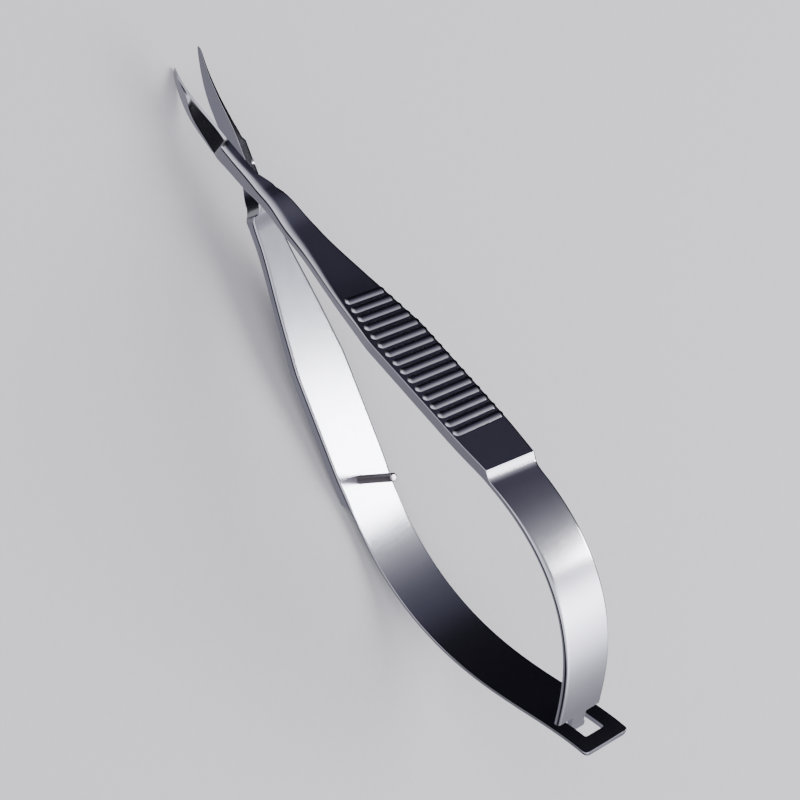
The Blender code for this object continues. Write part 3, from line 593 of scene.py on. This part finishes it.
def cut_and_finish(piece, cutters, material, place):
    """Cuts a piece, shades its faces smooth and its cut edges sharp, and puts it in place."""
    bpy.context.collection.objects.link(piece)
    made = []
    for mesh in cutters:
        cutter = bpy.data.objects.new("cutter", mesh)
        bpy.context.collection.objects.link(cutter)
        made.append(cutter)
        cut = piece.modifiers.new("cut", "BOOLEAN")
        cut.operation = "DIFFERENCE"
        cut.solver = "EXACT"
        cut.object = cutter
    bpy.context.view_layer.update()
    mesh = bpy.data.meshes.new_from_object(piece.evaluated_get(bpy.context.evaluated_depsgraph_get()))
    piece.modifiers.clear()
    piece.data = mesh
    for cutter in made:
        bpy.data.objects.remove(cutter, do_unlink=True)
    form = bmesh.new()
    form.from_mesh(mesh)
    for face in form.faces:
        face.smooth = True
        face.material_index = 0
    for edge in form.edges:
        edge.smooth = len(edge.link_faces) != 2 or edge.calc_face_angle() < SHARP_ANGLE
    bmesh.ops.transform(form, matrix=place, verts=form.verts)
    form.to_mesh(mesh)
    form.free()
    mesh.materials.clear()
    mesh.materials.append(material)
    return piece


# Stainless steel, belt polished along the arm. The grain is 1.1 mm long and 0.04 mm apart, which only
# spreads the reflections. The waves, 6 to 11 mm long, are what hand grinding leaves in flat faces.
GRAIN_PER_METRE = (900.0, 26000.0, 26000.0)
WAVES_PER_METRE = (90.0, 160.0, 160.0)
EDGE_POLISH = -0.05


def satin_steel(name, light, dark, roughness):
    """Belt polished steel: fine drawn grain, a faint waviness and bright edges."""
    material, tree, shader = new_material(name)
    where = add_node(tree, "ShaderNodeAttribute", attribute_name="arm_place")
    drawn = add_node(tree, "ShaderNodeVectorMath", {0: where.outputs["Vector"], 1: GRAIN_PER_METRE},
                     operation="MULTIPLY")
    grain = add_node(tree, "ShaderNodeTexNoise", {
        "Vector": drawn.outputs["Vector"], "Scale": 1.0, "Detail": 3.0})
    broad = add_node(tree, "ShaderNodeVectorMath", {0: where.outputs["Vector"], 1: WAVES_PER_METRE},
                     operation="MULTIPLY")
    cloud = add_node(tree, "ShaderNodeTexNoise", {
        "Vector": broad.outputs["Vector"], "Scale": 1.0, "Detail": 2.0})
    tone = add_node(tree, "ShaderNodeMix", {
        "Factor": cloud.outputs["Fac"], "A": from_hex(dark), "B": from_hex(light)}, data_type="RGBA")
    tree.links.new(tone.outputs["Result"], shader.inputs["Base Color"])
    shader.inputs["Metallic"].default_value = 1.0
    spread = add_node(tree, "ShaderNodeMapRange", {
        "Value": grain.outputs["Fac"], "From Min": 0.3, "From Max": 0.7, "To Min": roughness - 0.03,
        "To Max": roughness + 0.04})
    polish = add_node(tree, "ShaderNodeAttribute", attribute_name="edge_polish")
    edge = add_node(tree, "ShaderNodeMath", {
        0: polish.outputs["Fac"], 1: EDGE_POLISH, 2: spread.outputs["Result"]}, operation="MULTIPLY_ADD")
    tree.links.new(edge.outputs[0], shader.inputs["Roughness"])
    scratch = add_node(tree, "ShaderNodeBump", {"Height": grain.outputs["Fac"], "Strength": 0.12,
                                                "Distance": 0.00001})
    wave = add_node(tree, "ShaderNodeBump", {"Height": cloud.outputs["Fac"], "Strength": 0.5,
                                             "Distance": 0.00002, "Normal": scratch.outputs["Normal"]})
    tree.links.new(wave.outputs["Normal"], shader.inputs["Normal"])
    return material


far_steel = satin_steel("satin_steel_far_arm", "C9C9D2", "BDBDC7", 0.22)
SCREW_RADIUS = 0.0007
SCREW_HEAD_RADIUS = 0.0009
SCREW_HEAD_DEPTH = 0.0006
PLAY = 0.00005
PIN_RADIUS = 0.00065
PIN_SINK = 0.0010
WINDOW_PLACE = 0.049497
WINDOW_HALF_LENGTH = 0.0023
WINDOW_HALF_WIDTH = 0.00175
WINDOW_CORNER = 0.0003
# Deeper than the steel is thick, so that a cut goes right through.
THROUGH_LEAF = 0.0015
THROUGH_LAP = 0.004
BORE_CORNERS = 48
SEAT_CORNERS = 64
on_side = Matrix.Rotation(math.radians(90), 4, "X")
far_place = arm_frame(FAR_ARM)
pin_seat = Matrix.Translation((0.0477, -0.0008, INNER_FACE))
lap_bottom = CLEARANCE / 2 + LAP_HEIGHT
window = rounded_oblong(-WINDOW_HALF_LENGTH, WINDOW_HALF_LENGTH, WINDOW_HALF_WIDTH, WINDOW_CORNER)
far_cutters = [
    prism(window, THROUGH_LEAF, leaf_frame(FAR_ARM, WINDOW_PLACE)),
    prism(circle(SCREW_RADIUS + PLAY, BORE_CORNERS), THROUGH_LAP, on_side),
    prism(circle(SCREW_HEAD_RADIUS + PLAY, SEAT_CORNERS), SCREW_HEAD_DEPTH,
          Matrix.Translation((0.0, lap_bottom, 0.0)) @ on_side),
    prism(circle(PIN_RADIUS + PLAY, BORE_CORNERS), PIN_SINK, pin_seat),
]
far_arm = bpy.data.objects.new("far_arm_forging", arm_mesh(FAR_ARM, "far_arm_forging"))
cut_and_finish(far_arm, far_cutters, far_steel, far_place)
# The arms don't show in each other, which leaves their reflections to the tent alone.
far_arm.visible_glossy = False
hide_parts("slotted_arm", "slotted_leaf")
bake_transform(far_arm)

# GRIP RIBS
# Rounded ribs pressed up across the outer face of each grip, so that the fingers don't slip. They
# are of the arm's own steel, and end rounded before one edge of the grip and just past the other.
RIB_PITCH = 0.001668
RIB_MARGIN = 0.00015
RIB_OVERHANG = 0.0001
# The first and the last rib's angle to square, in degrees.
RIB_SKEW = (-7.3, -4.0)
RIB_SIZES = {"Rib Width": 0.00135, "Rib Height": 0.00021, "Rib Sink": 0.00003, "End Share": 0.10,
             "End Drop": 0.00015}
RIB_GRID = (15, 71)
# Keeps the rounded ends from closing to a point that has no width.
END_WIDTH = 1.0005


def rib_tree(material):
    """A node tree that lays a rib on every point, as long as the point says."""
    tree = bpy.data.node_groups.new("grip_ribs", "GeometryNodeTree")
    tree.interface.new_socket("Geometry", in_out="INPUT", socket_type="NodeSocketGeometry")
    for socket in (*RIB_SIZES, "Turn Over"):
        tree.interface.new_socket(socket, in_out="INPUT", socket_type="NodeSocketFloat")
    tree.interface.new_socket("Geometry", in_out="OUTPUT", socket_type="NodeSocketGeometry")
    source = add_node(tree, "NodeGroupInput")
    grid = add_node(tree, "GeometryNodeMeshGrid", {
        "Size X": 1.0, "Size Y": 1.0, "Vertices X": RIB_GRID[0], "Vertices Y": RIB_GRID[1]})
    spot = add_node(tree, "GeometryNodeInputPosition")
    parts = add_node(tree, "ShaderNodeSeparateXYZ", {0: spot.outputs[0]})
    off = add_node(tree, "ShaderNodeMath", {0: parts.outputs["Y"]}, operation="ABSOLUTE")
    end_start = add_node(tree, "ShaderNodeMath", {0: 0.5, 1: source.outputs["End Share"]},
                         operation="SUBTRACT")
    late = add_node(tree, "ShaderNodeMath", {0: off.outputs[0], 1: end_start.outputs[0]},
                    operation="SUBTRACT")
    late_share = add_node(tree, "ShaderNodeMath", {0: late.outputs[0], 1: source.outputs["End Share"]},
                          operation="DIVIDE", use_clamp=True)
    squared = add_node(tree, "ShaderNodeMath", {0: late_share.outputs[0], 1: 2.0}, operation="POWER")
    left = add_node(tree, "ShaderNodeMath", {0: END_WIDTH, 1: squared.outputs[0]}, operation="SUBTRACT")
    taper = add_node(tree, "ShaderNodeMath", {0: left.outputs[0], 1: 0.5}, operation="POWER")
    width = add_node(tree, "ShaderNodeMath", {0: taper.outputs[0], 1: source.outputs["Rib Width"]},
                     operation="MULTIPLY")
    across = add_node(tree, "ShaderNodeMath", {0: parts.outputs["X"], 1: width.outputs[0]},
                      operation="MULTIPLY")
    twice = add_node(tree, "ShaderNodeMath", {0: parts.outputs["X"], 1: 2.0}, operation="MULTIPLY")
    twice_squared = add_node(tree, "ShaderNodeMath", {0: twice.outputs[0], 1: twice.outputs[0]},
                             operation="MULTIPLY")
    crown = add_node(tree, "ShaderNodeMath", {0: 1.0, 1: twice_squared.outputs[0]}, operation="SUBTRACT")
    height = add_node(tree, "ShaderNodeMath", {
        0: source.outputs["Rib Height"], 1: source.outputs["Rib Sink"]}, operation="ADD")
    tapered = add_node(tree, "ShaderNodeMath", {0: crown.outputs[0], 1: taper.outputs[0]},
                       operation="MULTIPLY")
    rise = add_node(tree, "ShaderNodeMath", {0: tapered.outputs[0], 1: height.outputs[0]},
                    operation="MULTIPLY")
    bent = add_node(tree, "ShaderNodeMath", {
        0: squared.outputs[0], 1: source.outputs["End Drop"], 2: source.outputs["Rib Sink"]},
        operation="MULTIPLY_ADD")
    sunk = add_node(tree, "ShaderNodeMath", {0: rise.outputs[0], 1: bent.outputs[0]},
                    operation="SUBTRACT")
    point = add_node(tree, "ShaderNodeCombineXYZ", {"X": across.outputs[0], "Y": parts.outputs["Y"],
                                                    "Z": sunk.outputs[0]})
    crowned = add_node(tree, "GeometryNodeSetPosition", {"Geometry": grid.outputs["Mesh"],
                                                         "Position": point.outputs[0]})
    length = add_node(tree, "GeometryNodeInputNamedAttribute", {"Name": "rib_length"}, data_type="FLOAT")
    size = add_node(tree, "ShaderNodeCombineXYZ", {"X": 1.0, "Y": length.outputs["Attribute"], "Z": 1.0})
    skew = add_node(tree, "GeometryNodeInputNamedAttribute", {"Name": "rib_skew"}, data_type="FLOAT")
    turn = add_node(tree, "ShaderNodeCombineXYZ", {"X": source.outputs["Turn Over"], "Y": 0.0,
                                                   "Z": skew.outputs["Attribute"]})
    laid = add_node(tree, "GeometryNodeInstanceOnPoints", {
        "Points": source.outputs["Geometry"], "Instance": crowned.outputs[0], "Scale": size.outputs[0],
        "Rotation": turn.outputs[0]})
    real = add_node(tree, "GeometryNodeRealizeInstances", {"Geometry": laid.outputs[0]})
    spot_again = add_node(tree, "GeometryNodeInputPosition")
    kept = add_node(tree, "GeometryNodeStoreNamedAttribute", {
        "Geometry": real.outputs[0], "Name": "arm_place", "Value": spot_again.outputs[0]},
        data_type="FLOAT_VECTOR", domain="POINT")
    smooth = add_node(tree, "GeometryNodeSetShadeSmooth", {"Geometry": kept.outputs[0]})
    finish = add_node(tree, "GeometryNodeSetMaterial", {"Geometry": smooth.outputs[0], "Material": material})
    add_node(tree, "NodeGroupOutput", {0: finish.outputs[0]})
    return tree


def grip_ribs(arm, name, first, count, inset, material):
    """The ribs of one grip, laid on points along its outer face, the first ones set in from the edge."""
    rows = control_rows(arm)
    places = [row[0] for row in rows]
    points = []
    lengths = []
    skews = []
    for index in range(count):
        station = first + index * RIB_PITCH
        half_width = flow(places, [row[1][5][1] for row in rows], station)
        face = flow(places, [row[1][2][0] for row in rows], station)
        share = index / (count - 1)
        visible_end = half_width - inset * (1 - share) - RIB_MARGIN
        hidden_end = -half_width - RIB_OVERHANG
        points.append((station, -(visible_end + hidden_end) / 2, arm["side"] * face))
        lengths.append(visible_end - hidden_end)
        skew = RIB_SKEW[0] + (RIB_SKEW[1] - RIB_SKEW[0]) * share
        skews.append(arm["side"] * math.radians(skew))
    mesh = bpy.data.meshes.new(name)
    mesh.from_pydata(points, [], [])
    mesh.attributes.new("rib_length", "FLOAT", "POINT").data.foreach_set("value", lengths)
    mesh.attributes.new("rib_skew", "FLOAT", "POINT").data.foreach_set("value", skews)
    ribs = bpy.data.objects.new(name, mesh)
    bpy.context.collection.objects.link(ribs)
    tree = rib_tree(material)
    layer = ribs.modifiers.new("ribs", "NODES")
    layer.node_group = tree
    sizes = {**RIB_SIZES, "Turn Over": 0.0 if arm["side"] > 0 else math.pi}
    for socket in tree.interface.items_tree:
        if socket.in_out == "INPUT" and socket.name in sizes:
            layer[socket.identifier] = sizes[socket.name]
    bpy.context.view_layer.update()
    made = bpy.data.meshes.new_from_object(ribs.evaluated_get(bpy.context.evaluated_depsgraph_get()))
    ribs.modifiers.clear()
    made.transform(arm_frame(arm))
    ribs.data = made
    return ribs


far_ribs = grip_ribs(FAR_ARM, "far_grip_ribs", first=0.0238, count=12, inset=0.0001, material=far_steel)
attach(far_ribs, "far_arm")

# STOP PIN
# A turned pin pressed into the far arm's inner face. It stops the grips before the leaves are
# bent too far, and has a rounded nose.
PIN_REACH = 0.0082
PIN_NOSE = 0.00025
FOOT_GAP = 0.0001
MERGE_DISTANCE = 0.000002


def turned(name, profile, count, material, place):
    """A piece turned on a lathe from a profile of radius and height."""
    form = bmesh.new()
    verts = [form.verts.new((radius, 0.0, rise)) for radius, rise in profile]
    edges = [form.edges.new(pair) for pair in zip(verts, verts[1:])]
    bmesh.ops.spin(form, geom=verts + edges, cent=(0, 0, 0), axis=(0, 0, 1), angle=math.tau, steps=count,
                   use_merge=True)
    bmesh.ops.remove_doubles(form, verts=form.verts, dist=MERGE_DISTANCE)
    bmesh.ops.recalc_face_normals(form, faces=form.faces)
    for face in form.faces:
        face.smooth = True
    for edge in form.edges:
        edge.smooth = len(edge.link_faces) != 2 or edge.calc_face_angle() < SHARP_ANGLE
    mesh = bpy.data.meshes.new(name)
    form.to_mesh(mesh)
    form.free()
    mesh.transform(place)
    mesh.materials.append(material)
    piece = bpy.data.objects.new(name, mesh)
    bpy.context.collection.objects.link(piece)
    return piece


# Turned bar steel: rings 0.06 mm apart round the axis, which stretch the highlights across it.
RINGS_PER_METRE = (300.0, 300.0, 16000.0)


def turned_steel(name, light, dark, roughness, axis_place):
    """Bar steel with the fine rings that a lathe tool leaves round its axis."""
    material, tree, shader = new_material(name)
    where = add_node(tree, "ShaderNodeTexCoord")
    turned_back = add_node(tree, "ShaderNodeMapping", {
        "Vector": where.outputs["Object"], "Location": axis_place.inverted().translation,
        "Rotation": axis_place.inverted().to_euler()})
    rings = add_node(tree, "ShaderNodeVectorMath", {0: turned_back.outputs[0], 1: RINGS_PER_METRE},
                     operation="MULTIPLY")
    grain = add_node(tree, "ShaderNodeTexNoise", {"Vector": rings.outputs[0], "Scale": 1.0, "Detail": 2.0})
    tone = add_node(tree, "ShaderNodeMix", {
        "Factor": grain.outputs["Fac"], "A": from_hex(dark), "B": from_hex(light)}, data_type="RGBA")
    tree.links.new(tone.outputs["Result"], shader.inputs["Base Color"])
    shader.inputs["Metallic"].default_value = 1.0
    spread = add_node(tree, "ShaderNodeMapRange", {
        "Value": grain.outputs["Fac"], "To Min": roughness - 0.05, "To Max": roughness + 0.06})
    tree.links.new(spread.outputs["Result"], shader.inputs["Roughness"])
    rings_bump = add_node(tree, "ShaderNodeBump", {"Height": grain.outputs["Fac"], "Strength": 0.3,
                                                   "Distance": 0.00001})
    tree.links.new(rings_bump.outputs["Normal"], shader.inputs["Normal"])
    return material


pin_place = far_place @ pin_seat
pin_steel = turned_steel("turned_pin_steel", "9A9298", "8A8288", 0.24, pin_place)
pin_profile = [(0.0, PIN_REACH)]
pin_profile += [(PIN_RADIUS - PIN_NOSE + PIN_NOSE * math.sin(math.radians(turn)),
                 PIN_REACH - PIN_NOSE + PIN_NOSE * math.cos(math.radians(turn))) for turn in range(0, 91, 15)]
pin_profile += [(PIN_RADIUS, PIN_REACH * share) for share in (0.8, 0.6, 0.4, 0.2, 0.02)]
pin_profile += [(PIN_RADIUS, FOOT_GAP - PIN_SINK), (0.0, FOOT_GAP - PIN_SINK)]
pin = turned("stop_pin_turned", pin_profile, BORE_CORNERS, pin_steel, pin_place)
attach(pin, "far_arm")
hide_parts("stop_pin")

# NEAR ARM
# The other forging, made like the first: its blade lies over the far one, its grip is longer, and
# its leaf ends in square shoulders and a tongue that hooks through the far arm's window.

# How many degrees the arms stand apart at rest.
OPENING = 36.398
NEAR_ARM = {
    "side": 1.0,
    "tilt": FAR_ARM["tilt"] - OPENING,
    "flare_start": 0.0129,
    "taper_start": 0.0520,
    "root": 0.0592,
    "root_width": 0.0084,
    "bow_length": 0.0406,
    "leaf_end": 0.0438,
    "end_corner": 0.0001,
    "ramp": 1.0,
    "skew": -0.105,
    "face_cut": (0.0006, 0.0009),
    "wall_cut": (0.0003, 0.0004),
    "turn": math.radians(80.042),
    "bow": (0.772, 1.343, -1.115),
    "blade_rows": (
        (1.000, 0.98, 1.07, 0.12, 0.70, 0.09), (0.966, 0.62, 1.08, 0.18, 0.80, 0.11),
        (0.875, 0.24, 1.10, 0.26, 0.90, 0.14), (0.761, -0.09, 1.12, 0.36, 0.93, 0.16),
        (0.700, -0.23, 1.16, 0.43, 0.85, 0.17), (0.642, -0.31, 1.18, 0.52, 0.57, 0.17),
        (0.511, -0.41, 1.21, 0.71, 0.39, 0.18), (0.375, -0.51, 1.21, 0.84, 0.32, 0.20),
        (0.256, -0.58, 1.14, 0.93, 0.26, 0.24), (0.215, -0.57, 1.11, 0.97, 0.24, 0.28),
    ),
}
NECK_HALF = 0.00125
NECK_LENGTH = 0.0021
HEAD_HALF = 0.00155
TONGUE_END = 0.0045
THROUGH_TONGUE = 0.002
BORE_ROOF = 0.0005
near_steel = satin_steel("satin_steel_near_arm", "CBCAD2", "BFBEC7", 0.20)
near_place = arm_frame(NEAR_ARM)
near_cutters = [
    prism(circle(SCREW_RADIUS + PLAY, BORE_CORNERS), LAP_HEIGHT - BORE_ROOF + CLEARANCE / 2, on_side),
]
for hand in (1.0, -1.0):
    near_cutters.append(prism([
        (0.0, hand * NECK_HALF), (NECK_LENGTH, hand * NECK_HALF),
        (NECK_LENGTH + HEAD_HALF - NECK_HALF, hand * HEAD_HALF), (TONGUE_END, hand * HEAD_HALF),
        (TONGUE_END, hand * LEAF_WIDTH), (0.0, hand * LEAF_WIDTH),
    ], THROUGH_TONGUE, leaf_frame(NEAR_ARM, NEAR_ARM["bow_length"])))
near_arm = bpy.data.objects.new("near_arm_forging", arm_mesh(NEAR_ARM, "near_arm_forging"))
cut_and_finish(near_arm, near_cutters, near_steel, near_place)
near_arm.visible_glossy = False
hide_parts("tongue_arm", "tongue_leaf")
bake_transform(near_arm)
near_ribs = grip_ribs(NEAR_ARM, "near_grip_ribs", first=0.02697, count=16, inset=0.0006, material=near_steel)
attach(near_ribs, "near_arm")

# PIVOT SCREW
# A small slotted screw put in from the hidden side. Its head lies flush in the far arm's seat, and
# its thread holds in the near arm, so nothing of it shows in front.
END_CHAMFER = 0.00014
HEAD_CHAMFER = 0.0001
SLOT_HALF_LENGTH = 0.002
SLOT_HALF_WIDTH = 0.0002
SLOT_DEPTH = 0.0003
screw_place = near_place @ on_side
screw_steel = turned_steel("turned_screw_steel", "B2B2B8", "A2A2A8", 0.26, screw_place)
screw_low = -lap_bottom + PLAY
screw_top = lap_bottom - BORE_ROOF - PLAY
screw_neck = screw_low + SCREW_HEAD_DEPTH - 2 * PLAY
screw = turned("pivot_screw_turned", [
    (0.0, screw_top), (SCREW_RADIUS - END_CHAMFER, screw_top), (SCREW_RADIUS, screw_top - END_CHAMFER),
    (SCREW_RADIUS, screw_neck), (SCREW_HEAD_RADIUS, screw_neck),
    (SCREW_HEAD_RADIUS, screw_low + HEAD_CHAMFER), (SCREW_HEAD_RADIUS - HEAD_CHAMFER, screw_low),
    (0.0, screw_low),
], SEAT_CORNERS, screw_steel, Matrix.Identity(4))
slot_outline = [(x * SLOT_HALF_LENGTH, y * SLOT_HALF_WIDTH) for x, y in ((-1, -1), (1, -1), (1, 1), (-1, 1))]
screw_slot = prism(slot_outline, SLOT_DEPTH, Matrix.Translation((0.0, 0.0, screw_low)))
bpy.context.collection.objects.unlink(screw)
cut_and_finish(screw, [screw_slot], screw_steel, screw_place)
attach(screw, "near_arm")
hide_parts("pivot_screw")
